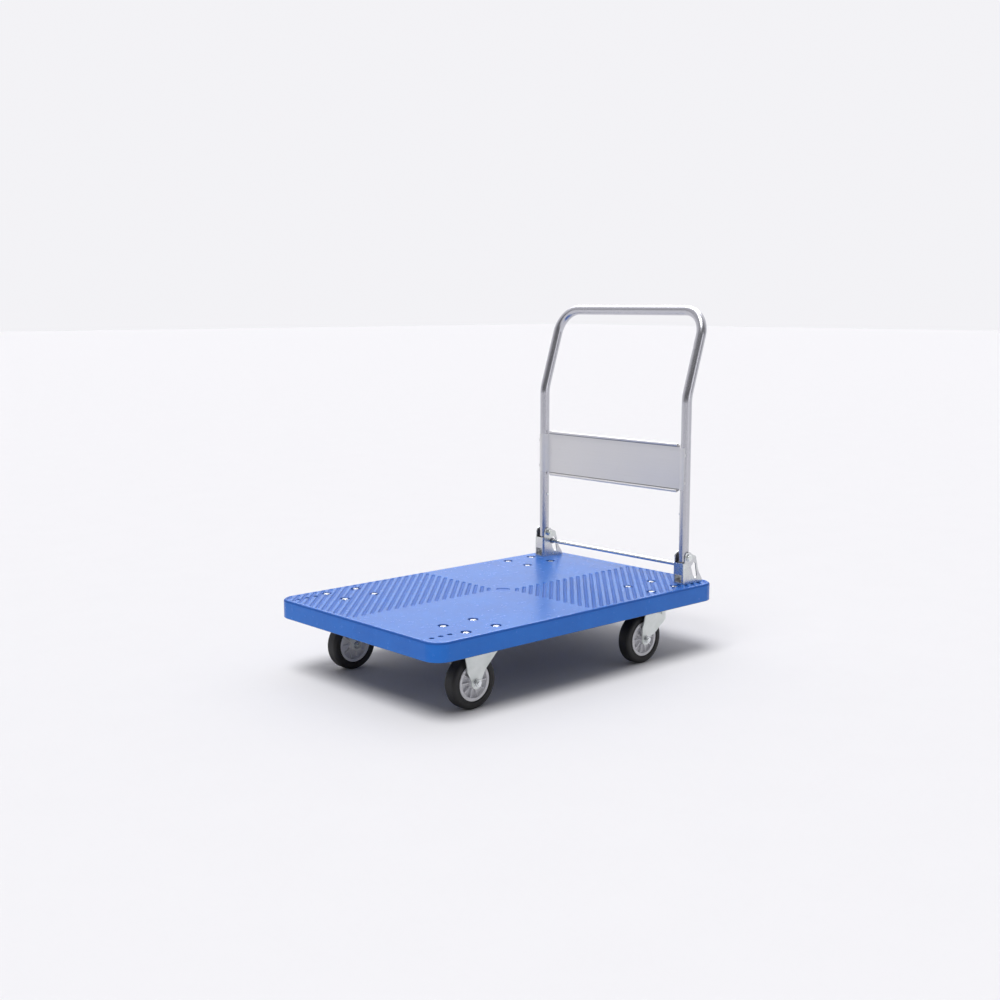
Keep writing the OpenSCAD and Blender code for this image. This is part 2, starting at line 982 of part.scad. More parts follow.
place(0, 0) deck_shell();
place(0, 0) caster_bolts();
place(0, 0) caster_washers();
place(0, 0) caster_nuts();
place(tube_x, -tube_y) translate([0, 0, pivot_z]) bracket();  // bracket_left
place(tube_x, tube_y) translate([0, 0, pivot_z]) bracket();  // bracket_right
place(0, 0) bracket_bolts();
place(0, 0) bracket_nuts();
place(0, 0) stop_pads();
place(0, 0) pivot_bolts();
place(0, 0) pivot_nuts();
place(0, 0) handle_hoop();
place(0, 0) mirror([0, 1, 0]) handle_leg();  // handle_leg_left
place(0, 0) handle_leg();  // handle_leg_right
place(0, 0) handle_panel();
place(0, 0) joint_screws();
place(0, 0) pivot_spacers();
place(0, 0) lock_bar();
place(0, 0) lock_clips();
place(0, -2 * tube_y) lock_spring();  // lock_spring_left
place(0, 0) lock_spring();  // lock_spring_right

place(-caster_x, -caster_y) rigid_fork();  // front_left_fork
place(-caster_x, -caster_y) axle(0);  // front_left_axle
place(-caster_x, -caster_y) axle_nut(0);  // front_left_nut
place(-caster_x, -caster_y) hub(0);  // front_left_hub
place(-caster_x, -caster_y) tyre(0);  // front_left_tyre
place(-caster_x, -caster_y) bearing(0);  // front_left_bearing
place(-caster_x, caster_y) rigid_fork();  // front_right_fork
place(-caster_x, caster_y) axle(0);  // front_right_axle
place(-caster_x, caster_y) axle_nut(0);  // front_right_nut
place(-caster_x, caster_y) hub(0);  // front_right_hub
place(-caster_x, caster_y) tyre(0);  // front_right_tyre
place(-caster_x, caster_y) bearing(0);  // front_right_bearing

place(caster_x, -caster_y) swivel_plate();  // rear_left_plate
place(caster_x, -caster_y) kingpin();  // rear_left_kingpin
place(caster_x, -caster_y) ball_race();  // rear_left_race
place(caster_x, -caster_y) swivel_fork();  // rear_left_fork
place(caster_x, -caster_y) axle(-trail);  // rear_left_axle
place(caster_x, -caster_y) axle_nut(-trail);  // rear_left_nut
place(caster_x, -caster_y) hub(-trail);  // rear_left_hub
place(caster_x, -caster_y) tyre(-trail);  // rear_left_tyre
place(caster_x, -caster_y) bearing(-trail);  // rear_left_bearing
place(caster_x, caster_y) swivel_plate();  // rear_right_plate
place(caster_x, caster_y) kingpin();  // rear_right_kingpin
place(caster_x, caster_y) ball_race();  // rear_right_race
place(caster_x, caster_y) swivel_fork();  // rear_right_fork
place(caster_x, caster_y) axle(-trail);  // rear_right_axle
place(caster_x, caster_y) axle_nut(-trail);  // rear_right_nut
place(caster_x, caster_y) hub(-trail);  // rear_right_hub
place(caster_x, caster_y) tyre(-trail);  // rear_right_tyre
place(caster_x, caster_y) bearing(-trail);  // rear_right_bearing
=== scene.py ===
# %% [markdown]
# # A folding platform cart
# The cart is a moulded plastic deck on four casters, with a tubular push handle that folds down over
# it. Its frame comes from CAD and is already the right size and in the right place. This lesson gives
# it the shapes and finishes that a CAD model leaves out. It starts by loading the frame.

import json
import math

import bmesh
import bpy
from mathutils import Matrix, Vector

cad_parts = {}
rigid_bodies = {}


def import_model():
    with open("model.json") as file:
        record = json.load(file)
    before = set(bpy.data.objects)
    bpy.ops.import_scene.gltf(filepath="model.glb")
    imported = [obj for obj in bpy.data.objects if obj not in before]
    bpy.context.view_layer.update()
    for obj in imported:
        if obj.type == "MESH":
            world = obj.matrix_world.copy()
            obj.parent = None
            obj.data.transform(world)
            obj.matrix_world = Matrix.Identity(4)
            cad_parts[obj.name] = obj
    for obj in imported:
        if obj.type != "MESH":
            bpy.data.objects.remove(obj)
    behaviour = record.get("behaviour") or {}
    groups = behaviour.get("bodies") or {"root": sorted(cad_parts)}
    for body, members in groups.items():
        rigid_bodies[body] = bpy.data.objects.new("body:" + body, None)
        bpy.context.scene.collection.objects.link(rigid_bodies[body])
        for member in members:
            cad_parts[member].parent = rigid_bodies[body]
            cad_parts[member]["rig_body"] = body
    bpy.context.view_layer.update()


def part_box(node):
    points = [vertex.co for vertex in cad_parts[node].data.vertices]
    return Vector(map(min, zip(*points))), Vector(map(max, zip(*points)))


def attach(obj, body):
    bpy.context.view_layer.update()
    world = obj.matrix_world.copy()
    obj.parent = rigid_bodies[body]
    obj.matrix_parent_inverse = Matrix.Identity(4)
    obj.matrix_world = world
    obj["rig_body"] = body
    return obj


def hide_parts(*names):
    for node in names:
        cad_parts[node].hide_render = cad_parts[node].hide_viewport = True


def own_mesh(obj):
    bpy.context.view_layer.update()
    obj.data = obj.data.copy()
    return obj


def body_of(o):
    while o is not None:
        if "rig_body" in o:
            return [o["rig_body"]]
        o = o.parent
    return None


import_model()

# %% [markdown]
# ## Sizes
# Places come from the boxes of the CAD pieces, so a change of the CAD moves everything here too.
# What a box can't tell, such as the depth of a groove, is a named size in millimetres.

# %% Sizes that several pieces share
MM = 0.001
deck_low, deck_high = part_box("deck_shell")
deck_middle = (deck_low + deck_high) / 2
deck_length, deck_width, deck_height = deck_high - deck_low
deck_top = deck_high.z


def centre_of(node):
    """The middle of a CAD piece's box."""
    low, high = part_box(node)
    return (low + high) / 2


rear_caster = centre_of("rear_right_plate") - deck_middle
handle_row = centre_of("bracket_bolts") - deck_middle
row_y = centre_of("bracket_right").y
print("deck", round(deck_length, 3), "x", round(deck_width, 3), "top at", round(deck_top, 4))

# %% [markdown]
# ## Wiring nodes with plain expressions
# A material and a Geometry Nodes tree are both graphs. Clicking them together is fine once, but a
# script reads better if `1 - mask` simply adds the Math node that it means. `Signal` wraps one
# output socket and turns the arithmetic signs into nodes. `Wiring` adds every other node.

# %% Signals and wiring
class Signal:
    """An output socket that takes part in arithmetic."""

    def __init__(self, wiring, socket):
        self.wiring = wiring
        self.socket = socket

    def math(self, operation, *others):
        sockets = dict(enumerate((self, *others)))
        return self.wiring.node("ShaderNodeMath", {"operation": operation}, sockets)

    def swapped(self, operation, other):
        return self.wiring.node("ShaderNodeMath", {"operation": operation}, {0: other, 1: self})

    def __add__(self, other):
        return self.math("ADD", other)

    def __radd__(self, other):
        return self.math("ADD", other)

    def __sub__(self, other):
        return self.math("SUBTRACT", other)

    def __rsub__(self, other):
        return self.swapped("SUBTRACT", other)

    def __mul__(self, other):
        return self.math("MULTIPLY", other)

    def __rmul__(self, other):
        return self.math("MULTIPLY", other)

    def __truediv__(self, other):
        return self.math("DIVIDE", other)

    def __neg__(self):
        return self.math("MULTIPLY", -1.0)

    def __gt__(self, other):
        return self.math("GREATER_THAN", other)

    def __lt__(self, other):
        return self.math("LESS_THAN", other)

    def above(self, other):
        return self.math("MAXIMUM", other)

    def below(self, other):
        return self.math("MINIMUM", other)


class Wiring:
    """Adds nodes to a tree: a type, its settings, and the values or links of its sockets."""

    def __init__(self, tree):
        self.tree = tree

    def feed(self, socket, value):
        if isinstance(value, Signal):
            self.tree.links.new(value.socket, socket)
        else:
            socket.default_value = value

    def node(self, kind, settings=None, sockets=None, output=0):
        made = self.tree.nodes.new(kind)
        for name, value in (settings or {}).items():
            if name == "stops":
                set_stops(made.color_ramp, value)
            else:
                setattr(made, name, value)
        for name, value in (sockets or {}).items():
            for one in value if isinstance(value, list) else [value]:
                self.feed(made.inputs[name], one)
        return Signal(self, made.outputs[output])

    def vector(self, x, y, z):
        return self.node("ShaderNodeCombineXYZ", None, {"X": x, "Y": y, "Z": z})


def set_stops(ramp, stops):
    """Stops are (place, grey level or colour)."""
    while len(ramp.elements) < len(stops):
        ramp.elements.new(0.5)
    for element, (place, level) in zip(ramp.elements, stops):
        element.position = place
        element.color = (*level, 1.0) if isinstance(level, tuple) else (level, level, level, 1.0)


# %% [markdown]
# ## Finishes
# Real surfaces are never one flat colour. Moulded plastic is mottled, zinc plating is cloudy and
# drawn tube keeps fine marks along its length. A `Finish` is one material whose colour,
# roughness and bump change over the piece. Every pattern reads Object coordinates, which are
# metres on the piece itself, so a noise scale of 200 has features about 5 mm across.

# %% A finish is one material
class Finish(Wiring):
    """One material. Even values go straight on its shader, and patterns are wired to it."""

    def __init__(self, name, **even):
        self.material = bpy.data.materials.new(name)
        self.material.use_nodes = True
        super().__init__(self.material.node_tree)
        self.shader = self.tree.nodes["Principled BSDF"]
        for socket, value in even.items():
            self.shader.inputs[socket.replace("_", " ")].default_value = value
        self.place = self.node("ShaderNodeTexCoord", output="Object")

    def height(self):
        """The height above the floor, in metres."""
        return self.node("ShaderNodeSeparateXYZ", None, {"Vector": self.place}, output="Z")

    def stretched(self, x, y, z):
        return self.node("ShaderNodeMapping", None, {"Vector": self.place, "Scale": (x, y, z)})

    def noise(self, scale, detail=2.0, roughness=0.5, place=None):
        sockets = {"Vector": place or self.place, "Scale": scale, "Detail": detail,
                   "Roughness": roughness}
        return self.node("ShaderNodeTexNoise", None, sockets)

    def cells(self, scale, place=None):
        return self.node("ShaderNodeTexVoronoi", None,
                         {"Vector": place or self.place, "Scale": scale})

    def step(self, signal, low, high):
        """0 below low, 1 above high, and a straight rise between them."""
        sockets = {"Value": signal, "From Min": low, "From Max": high}
        return self.node("ShaderNodeMapRange", None, sockets)

    def mixed(self, mask, first, second):
        sockets = {0: mask, 6: self.colour(first), 7: self.colour(second)}
        return self.node("ShaderNodeMix", {"data_type": "RGBA"}, sockets, output=2)

    def colour(self, value):
        return value if isinstance(value, Signal) else (*value, 1.0)

    def paint(self, colour=None, roughness=None, metallic=None):
        for socket, value in (("Base Color", colour), ("Roughness", roughness),
                              ("Metallic", metallic)):
            if value is not None:
                self.feed(self.shader.inputs[socket], value)

    def bump(self, height, depth):
        """Raises the surface by up to depth metres where height is 1."""
        sockets = {"Height": height, "Distance": depth, "Strength": 1.0}
        self.feed(self.shader.inputs["Normal"], self.node("ShaderNodeBump", None, sockets))


# %% [markdown]
# ### Blue deck plastic
# The deck is polypropylene, moulded in one shot. The pigment swirls a little and handling leaves pale
# scuffs on the raised face. The groove bottoms are painted a darker blue as shade, and dust makes them
# rougher. The height above the floor tells the groove bottoms from the raised face, and the attribute
# "under", which the deck's own recipe stores, marks the faces that look down. These are painted near
# black as shade, so the shadow under the deck stays dark and grey. The bump has two sizes, because a
# moulded face is slightly wavy and also has a fine grain.

# %% Deck plastic
DEEP_BLUE = (0.0, 0.115, 0.50)
MID_BLUE = (0.002, 0.145, 0.58)
CLOUD_BLUE = (0.008, 0.165, 0.62)
# Painted shade for the groove bottoms.
GROOVE_SHADE_BLUE = (0.0, 0.05, 0.26)
SCUFF_BLUE = (0.10, 0.28, 0.80)
# Painted shade for the faces that look down.
UNDERSIDE_SHADE = (0.030, 0.032, 0.040)


def deck_plastic():
    finish = Finish("deck_plastic", IOR=1.42)
    height = finish.height()
    swirl = finish.noise(7.0, 3.0, 0.6)
    mottle = finish.noise(70.0, 4.0, 0.65)
    scuff_grain = finish.noise(40.0, 5.0, 0.7, finish.stretched(1.0, 5.0, 1.0))
    raised = finish.step(height, deck_top - 0.6 * MM, deck_top - 0.1 * MM)
    groove = finish.step(height, deck_top - 0.3 * MM, deck_top - 1.2 * MM)
    top_only = finish.step(height, deck_top - 7 * MM, deck_top - 4 * MM)
    scuffs = finish.step(scuff_grain, 0.64, 0.82) * raised * 0.22
    pigment = finish.mixed(finish.step(swirl, 0.3, 0.7), DEEP_BLUE, MID_BLUE)
    clouded = finish.mixed(finish.step(mottle, 0.35, 0.75) * 0.3, pigment, CLOUD_BLUE)
    # Painted shade: the groove bottoms are painted a darker blue. Dust only raises their roughness.
    groove_shaded = finish.mixed(groove * top_only * 0.75, clouded, GROOVE_SHADE_BLUE)
    # Painted shade: faces that look down are painted near black, so the shadow under the deck stays
    # dark and grey.
    under = finish.node("ShaderNodeAttribute", {"attribute_name": "under"}, output="Fac")
    shaded_under = finish.mixed(under * 0.85, groove_shaded, UNDERSIDE_SHADE)
    finish.paint(colour=finish.mixed(scuffs, shaded_under, SCUFF_BLUE),
                 roughness=0.17 + mottle * 0.16 + scuffs * 0.4 + groove * top_only * 0.34)
    grain = finish.noise(900.0, 2.0, 0.5)
    finish.bump(swirl * 1.0 + mottle * 0.35 + grain * 0.12, 0.25 * MM)
    return finish.material


# %% [markdown]
# ### Zinc plating
# Brackets, forks, plates and fasteners are steel with bright zinc. The plating clouds into soft
# patches, some of them faintly green, and picks up short rub marks. Only its colour, its
# roughness and a very shallow bump change over a piece.

# %% Zinc
ZINC_PATCH = (0.70, 0.74, 0.71)
ZINC_RUB = (0.46, 0.46, 0.48)


def zinc_plating(name, tint, rough, wear, metal):
    finish = Finish(name, Metallic=metal)
    cloud = finish.noise(26.0, 4.0, 0.6)
    spangle = finish.cells(260.0)
    rub = finish.noise(55.0, 4.0, 0.7, finish.stretched(6.0, 1.0, 1.0))
    base = finish.mixed(finish.step(cloud, 0.35, 0.7), tint, ZINC_PATCH)
    rubbed = finish.step(rub, 0.6, 0.8) * wear
    finish.paint(colour=finish.mixed(rubbed, base, ZINC_RUB),
                 roughness=rough + cloud * 0.16 + spangle * 0.06 + rubbed * 0.15)
    finish.bump(cloud * 0.5 + finish.noise(700.0, 2.0) * 0.25, 0.05 * MM)
    return finish.material


# %% [markdown]
# ### Satin tube and panel
# The handle is drawn tube with a silver finish. Drawing leaves lines along the tube, so its noise is
# stretched along Z. The sheet panel was rolled, so its lines run along Y. Along each of the panel's
# two rolled beads a dark line is painted as shade.

# %% Satin silver
CREASE_SHADE_GREY = (0.10, 0.10, 0.12)
HANDLED_GREY = (0.40, 0.40, 0.43)


def satin_silver(name, colour, shade, rough, metal, stretch, creases=None):
    """Creases are two level lines, half a distance above and below a middle height."""
    finish = Finish(name, Metallic=metal)
    lines = finish.noise(1.0, 4.0, 0.65, finish.stretched(*stretch))
    cloud = finish.noise(14.0, 3.0, 0.55)
    handled = finish.step(finish.noise(60.0, 5.0, 0.7), 0.64, 0.8) * 0.25
    base = finish.mixed(finish.step(lines, 0.3, 0.7) * 0.5, colour, shade)
    if creases:
        height = finish.height()
        middle, half = creases
        away = (height - middle).math("ABSOLUTE") - half
        # Painted shade: a dark line along each crease of the panel's rolled beads.
        crease_shade = 1.0 - finish.step(away.math("ABSOLUTE"), 0.4 * MM, 1.5 * MM)
        base = finish.mixed(crease_shade * 0.8, base, CREASE_SHADE_GREY)
    finish.paint(colour=finish.mixed(handled, base, HANDLED_GREY),
                 roughness=rough + lines * 0.10 + cloud * 0.08)
    finish.bump(lines, 0.03 * MM)
    return finish.material


# %% [markdown]
# ### Rubber, hub plastic and small dark parts
# Tyre rubber is nearly black. It has a broad dull sheen, a fine pebble and grey dust where it
# rolls. The hubs are pale grey nylon. Springs, stops and bearing cages are darker.

# %% Rubber and plastics
WIRE_DARK = (0.16, 0.16, 0.18)
WIRE_LIGHT = (0.34, 0.34, 0.37)


def rubber(name, colour, dust, dust_share):
    finish = Finish(name, IOR=1.52)
    pebble = finish.noise(420.0, 3.0, 0.6)
    worn = finish.noise(30.0, 5.0, 0.65)
    dusted = finish.step(worn, 0.42, 0.75) * dust_share
    finish.paint(colour=finish.mixed(dusted, colour, dust), roughness=0.46 + worn * 0.22)
    finish.bump(pebble * 0.6 + worn * 0.4, 0.12 * MM)
    return finish.material


def moulded_plastic(name, light, shade, rough):
    finish = Finish(name, IOR=1.48)
    flow = finish.noise(38.0, 4.0, 0.6)
    speck = finish.step(finish.noise(300.0, 3.0, 0.6), 0.66, 0.8) * 0.3
    base = finish.mixed(finish.step(flow, 0.3, 0.72), light, shade)
    finish.paint(colour=finish.mixed(speck, base, tuple(0.6 * c for c in shade)),
                 roughness=rough + flow * 0.14)
    finish.bump(flow * 0.7 + finish.noise(800.0, 2.0) * 0.3, 0.06 * MM)
    return finish.material


def spring_wire():
    finish = Finish("spring_wire", Metallic=1.0)
    drawn = finish.noise(500.0, 3.0, 0.6)
    finish.paint(colour=finish.mixed(drawn, WIRE_DARK, WIRE_LIGHT),
                 roughness=0.28 + drawn * 0.2)
    finish.bump(drawn, 0.02 * MM)
    return finish.material


blue = deck_plastic()
bright_zinc = zinc_plating("bright_zinc", (0.80, 0.81, 0.84), 0.14, 0.35, 1.0)
bracket_zinc = zinc_plating("bracket_zinc", (0.56, 0.56, 0.60), 0.15, 0.4, 1.0)
pressed_zinc = zinc_plating("pressed_zinc", (0.84, 0.87, 0.85), 0.30, 0.15, 0.5)
silver_tube = satin_silver("silver_tube", (0.50, 0.50, 0.54), (0.62, 0.62, 0.66), 0.17, 1.0,
                           (1400.0, 1400.0, 9.0))
panel_low, panel_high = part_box("handle_panel")
silver_sheet = satin_silver("silver_sheet", (0.72, 0.71, 0.71), (0.78, 0.77, 0.77), 0.36, 0.75,
                            (900.0, 7.0, 900.0),
                            ((panel_low.z + panel_high.z) / 2,
                             (panel_high.z - panel_low.z) / 2 - 8 * MM))
tyre_black = rubber("tyre_black", (0.005, 0.005, 0.006), (0.035, 0.034, 0.033), 0.3)
stop_black = rubber("stop_black", (0.016, 0.016, 0.018), (0.06, 0.06, 0.06), 0.2)
hub_grey = moulded_plastic("hub_grey", (0.80, 0.80, 0.82), (0.66, 0.66, 0.69), 0.30)
dark_plastic = moulded_plastic("dark_plastic", (0.035, 0.035, 0.04), (0.022, 0.022, 0.026), 0.38)
dark_wire = spring_wire()
print("finishes:", len(bpy.data.materials))

# %% [markdown]
# ## Meshes from a few sizes
# Three helpers make most of the new pieces. `loft` joins a stack of closed rings, `lathe` turns an
# outline round the Y axis, and `finish_piece` gives a mesh its material and its body and hides the CAD
# pieces that it stands for. Weighted normals keep the big flat faces flat beside small round edges.

# %% Mesh helpers
RIPPLE_ANGLE = math.radians(32)
DOUBLES = 0.002 * MM


def new_object(name, mesh):
    piece = bpy.data.objects.new(name, mesh)
    bpy.context.scene.collection.objects.link(piece)
    return piece


def mesh_from(work, name):
    bmesh.ops.remove_doubles(work, verts=work.verts, dist=DOUBLES)
    bmesh.ops.recalc_face_normals(work, faces=work.faces)
    mesh = bpy.data.meshes.new(name)
    work.to_mesh(mesh)
    work.free()
    return mesh


def loft(name, rings, caps=True):
    """Joins rings of equally many points, and closes the first and last ones."""
    work = bmesh.new()
    loops = [[work.verts.new(point) for point in ring] for ring in rings]
    count = len(loops[0])
    for low, high in zip(loops, loops[1:]):
        for i in range(count):
            j = (i + 1) % count
            work.faces.new((low[i], low[j], high[j], high[i]))
    if caps:
        work.faces.new(loops[0])
        work.faces.new(loops[-1])
    return mesh_from(work, name)


def lathe(name, outline, segments):
    """Turns a closed outline of (radius, y) round the Y axis."""
    rings = []
    for i in range(segments):
        turn = 2 * math.pi * i / segments
        rings.append([(r * math.cos(turn), y, r * math.sin(turn)) for r, y in outline])
    return loft(name, rings + rings[:1], caps=False)


def arc(centre, radius, start, end, steps):
    """Points of an arc, from start to end degrees."""
    turns = [math.radians(start + (end - start) * i / steps) for i in range(steps + 1)]
    return [(centre[0] + radius * math.cos(t), centre[1] + radius * math.sin(t)) for t in turns]


def shade(mesh, angle=RIPPLE_ANGLE):
    mesh.shade_smooth()
    mesh.set_sharp_from_angle(angle=angle)


def finish_piece(piece, material, body, slot, *nodes, edge=None):
    """Shades a finished piece, sets its material, attaches it to its body and hides the CAD pieces
    that it stands for.
    """
    if material is not None:
        piece.data.materials.clear()
        piece.data.materials.append(material)
    shade(piece.data)
    if edge:
        eased = piece.modifiers.new("eased edges", "BEVEL")
        eased.width = edge
        eased.segments = 2
        eased.angle_limit = RIPPLE_ANGLE
    weighted = piece.modifiers.new("flat faces stay flat", "WEIGHTED_NORMAL")
    weighted.keep_sharp = True
    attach(piece, body)
    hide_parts(*nodes)
    return piece


# %% [markdown]
# ## Recipes
# A recipe is a Geometry Nodes tree with named inputs. The script builds the tree, sets each
# input by its socket's identifier, lets Blender work it out once, and keeps the result as
# a plain mesh. That keeps the pattern easy to change and leaves nothing live in the scene.

# %% A recipe is one Geometry Nodes tree
class Recipe(Wiring):
    """A Geometry Nodes tree. Its inputs are named values, and it ends in one plain mesh."""

    SOCKETS = {float: "NodeSocketFloat", int: "NodeSocketInt", bpy.types.Object: "NodeSocketObject"}

    def __init__(self, name, **inputs):
        super().__init__(bpy.data.node_groups.new(name, "GeometryNodeTree"))
        self.inputs = inputs
        face = self.tree.interface
        face.new_socket("Geometry", in_out="INPUT", socket_type="NodeSocketGeometry")
        for label, value in inputs.items():
            face.new_socket(label, in_out="INPUT", socket_type=self.SOCKETS[type(value)])
        face.new_socket("Geometry", in_out="OUTPUT", socket_type="NodeSocketGeometry")
        self.entry = self.tree.nodes.new("NodeGroupInput")

    def __getitem__(self, label):
        return Signal(self, self.entry.outputs[label])

    def named(self, label):
        """A value that was stored on the points or the mesh."""
        return self.node("GeometryNodeInputNamedAttribute", {"data_type": "FLOAT"}, {"Name": label})

    def boolean(self, operation, first, others):
        sockets = {"Mesh 2": others}
        if first is not None:
            sockets["Mesh 1"] = first
        settings = {"operation": operation, "solver": "EXACT"}
        return self.node("GeometryNodeMeshBoolean", settings, sockets)

    def moved(self, geometry, **place):
        sockets = {"Geometry": geometry}
        sockets.update({key.capitalize(): value for key, value in place.items()})
        return self.node("GeometryNodeTransform", None, sockets)

    def rod(self, radius, depth, corners):
        return self.node("GeometryNodeMeshCylinder", None,
                         {"Vertices": corners, "Radius": radius, "Depth": depth})

    def grid(self, size_x, size_y, count_x, count_y):
        return self.node("GeometryNodeMeshGrid", None, {"Size X": size_x, "Size Y": size_y,
                                                        "Vertices X": count_x, "Vertices Y": count_y})

    def copies(self, points, instance, **more):
        sockets = {"Points": points, "Instance": instance}
        sockets.update({key.capitalize(): value for key, value in more.items()})
        placed = self.node("GeometryNodeInstanceOnPoints", None, sockets)
        return self.node("GeometryNodeRealizeInstances", None, {"Geometry": placed})

    def make(self, name, result, material, start=None):
        """Ends the tree, runs it once on the start mesh and returns the plain mesh."""
        whole = self.node("GeometryNodeRealizeInstances", None, {"Geometry": result})
        painted = self.node("GeometryNodeSetMaterial", None,
                            {"Geometry": whole, "Material": material})
        self.feed(self.tree.nodes.new("NodeGroupOutput").inputs[0], painted)
        host = new_object(name + "_host", start or bpy.data.meshes.new(name + "_start"))
        modifier = host.modifiers.new("recipe", "NODES")
        modifier.node_group = self.tree
        for item in self.tree.interface.items_tree:
            if item.in_out == "INPUT" and item.name in self.inputs:
                modifier[item.identifier] = self.inputs[item.name]
        graph = bpy.context.evaluated_depsgraph_get()
        mesh = bpy.data.meshes.new_from_object(host.evaluated_get(graph), depsgraph=graph)
        mesh.name = name
        bpy.data.objects.remove(host)
        print(name, len(mesh.polygons), "faces")
        return mesh


# %% [markdown]
# ## The deck
# The real deck is a shallow tray turned upside down: a skin, a skirt, ribs and screw bosses.
# Two of its four quarters have slanted anti-slip grooves, each one a round-bottomed scoop with
# round ends. Drawing dozens of scoops by hand would be slow, and all of them follow one rule,
# so the tray is a loft and a recipe cuts it.

# %% The tray, as a stack of rounded rectangles
CORNER_RADIUS = 40 * MM
EDGE_RADIUS = 6 * MM
WALL = 4 * MM
CORNER_STEPS = 10


def rounded_rectangle(inset, z):
    """A ring of points on the deck's outline, moved inwards by inset."""
    radius = max(CORNER_RADIUS - inset, 1 * MM)
    half_x = deck_length / 2 - inset - radius
    half_y = deck_width / 2 - inset - radius
    ring = []
    for quarter, (sx, sy) in enumerate(((1, 1), (-1, 1), (-1, -1), (1, -1))):
        corner = (sx * half_x, sy * half_y)
        ring += [(x, y, z) for x, y in arc(corner, radius, 90 * quarter, 90 * quarter + 90,
                                           CORNER_STEPS)]
    return ring


def deck_tray():
    top = deck_height / 2
    inner = top - WALL
    outside = [(EDGE_RADIUS - s, top - EDGE_RADIUS + c)
               for s, c in arc((0, 0), EDGE_RADIUS, 90, 0, 7)]
    lip = [(0, -top + 1 * MM), (1 * MM, -top), (WALL - 1 * MM, -top), (WALL, -top + 1 * MM)]
    inside = [(WALL + 3 * MM - s, inner - 3 * MM + c) for s, c in arc((0, 0), 3 * MM, 0, 90, 4)]
    return loft("deck_tray", [rounded_rectangle(inset, z) for inset, z in outside + lip + inside])


# %% A seed for one scoop, stretched later to the length of its groove
def scoop_seed(radius, sides=36, rings=7):
    """A rod with round ends. Its two halves know their side, so the recipe can pull them apart."""
    turns = [math.pi / 2 * (i + 0.5) / rings for i in range(rings)]
    half = [(-radius * math.cos(t), radius * math.sin(t)) for t in turns] + [(-0.01 * MM, radius)]
    outline = half + [(-x, r) for x, r in reversed(half)]
    stack = []
    for x, r in outline:
        stack.append([(x, r * math.cos(2 * math.pi * i / sides), r * math.sin(2 * math.pi * i / sides))
                      for i in range(sides)])
    mesh = loft("scoop_seed", stack)
    side = mesh.attributes.new("side", "FLOAT", "POINT")
    side.data.foreach_set("value", [math.copysign(1.0, v.co.x) for v in mesh.vertices])
    return new_object("scoop_seed", mesh)


# %% [markdown]
# A scoop is cut by a rod whose centre is above the deck: the lower the rod, the wider and deeper
# the groove. For a groove of width w and depth d the rod's radius is (w²/4 + d²) / 2d. Each
# groove lies on a line at 45 degrees. The recipe works out where that line enters and leaves
# its quarter, puts a rod midway and pulls the rod's halves apart to fill the length.

# %% The deck recipe
GROOVE_WIDTH = 10.0 * MM
GROOVE_DEPTH = 2.3 * MM
GROOVE_PITCH = 17 * MM
GROOVES = 35
rod_radius = (GROOVE_WIDTH ** 2 / 4 + GROOVE_DEPTH ** 2) / (2 * GROOVE_DEPTH)
HALF_TURN = math.pi
BORDER = 8 * MM
BAND = 24 * MM
HOLE_X = 88 * MM
HOLE_Y = 77 * MM
ROW_RUN = 50 * MM
RIB = 3 * MM
RIB_PITCH = 75 * MM
RIB_REACH = 25 * MM
RIB_LAP = 2 * MM
PLATE_BOSS = 14.5 * MM
ROW_BOSS = 10 * MM
BORE = 4.2 * MM
FLARE = 6.4 * MM
FLARE_DEPTH = 8 * MM
POCKET = 12.5 * MM
POCKET_DEPTH = 8 * MM
DISC = 18 * MM
DISC_DEPTH = 1 * MM


def groove_rods(recipe, seed):
    """The rods over one quarter, then the same ones turned half way round for the other."""
    root = math.sqrt(2)
    half_x = (recipe["Length"] / 2 - recipe["Border"] - recipe["Band"] / 2) / 2
    half_y = (recipe["Width"] / 2 - recipe["Border"] - recipe["Band"] / 2) / 2
    index = recipe.node("GeometryNodeInputIndex")
    across = (index - (recipe["Grooves"] - 1.0) / 2) * recipe["Pitch"]
    enters = (across - half_x * root).above(-across - half_y * root)
    leaves = (across + half_x * root).below(half_y * root - across)
    reach = (leaves - enters) / 2 - recipe["Groove width"] / 2
    middle = (enters + leaves) / 2
    place = recipe.vector((middle - across) / root - half_x - recipe["Band"] / 2,
                          (middle + across) / root + half_y + recipe["Band"] / 2,
                          recipe["Rod height"])
    points = recipe.node("GeometryNodePoints", None,
                         {"Count": recipe["Grooves"], "Position": place})
    known = recipe.node("GeometryNodeStoreNamedAttribute", {"data_type": "FLOAT"},
                        {"Geometry": points, "Name": "reach", "Value": reach})
    kept = recipe.named("reach")
    rods = recipe.copies(known, seed, selection=kept > 0.0, rotation=(0, 0, math.radians(45)))
    side = recipe.named("side")
    pull = side * kept / root
    pulled = recipe.node("GeometryNodeSetPosition", None,
                         {"Geometry": rods, "Offset": recipe.vector(pull, pull, 0.0)})
    turned = recipe.moved(pulled, rotation=(0, 0, HALF_TURN))
    return [pulled, turned]


def ribs(recipe, count_x, count_y, pitch, size):
    """A row of thin upright plates."""
    points = recipe.grid((count_x - 1) * pitch, (count_y - 1) * pitch, count_x, count_y)
    return recipe.copies(points, recipe.node("GeometryNodeMeshCube", None, {"Size": size}))


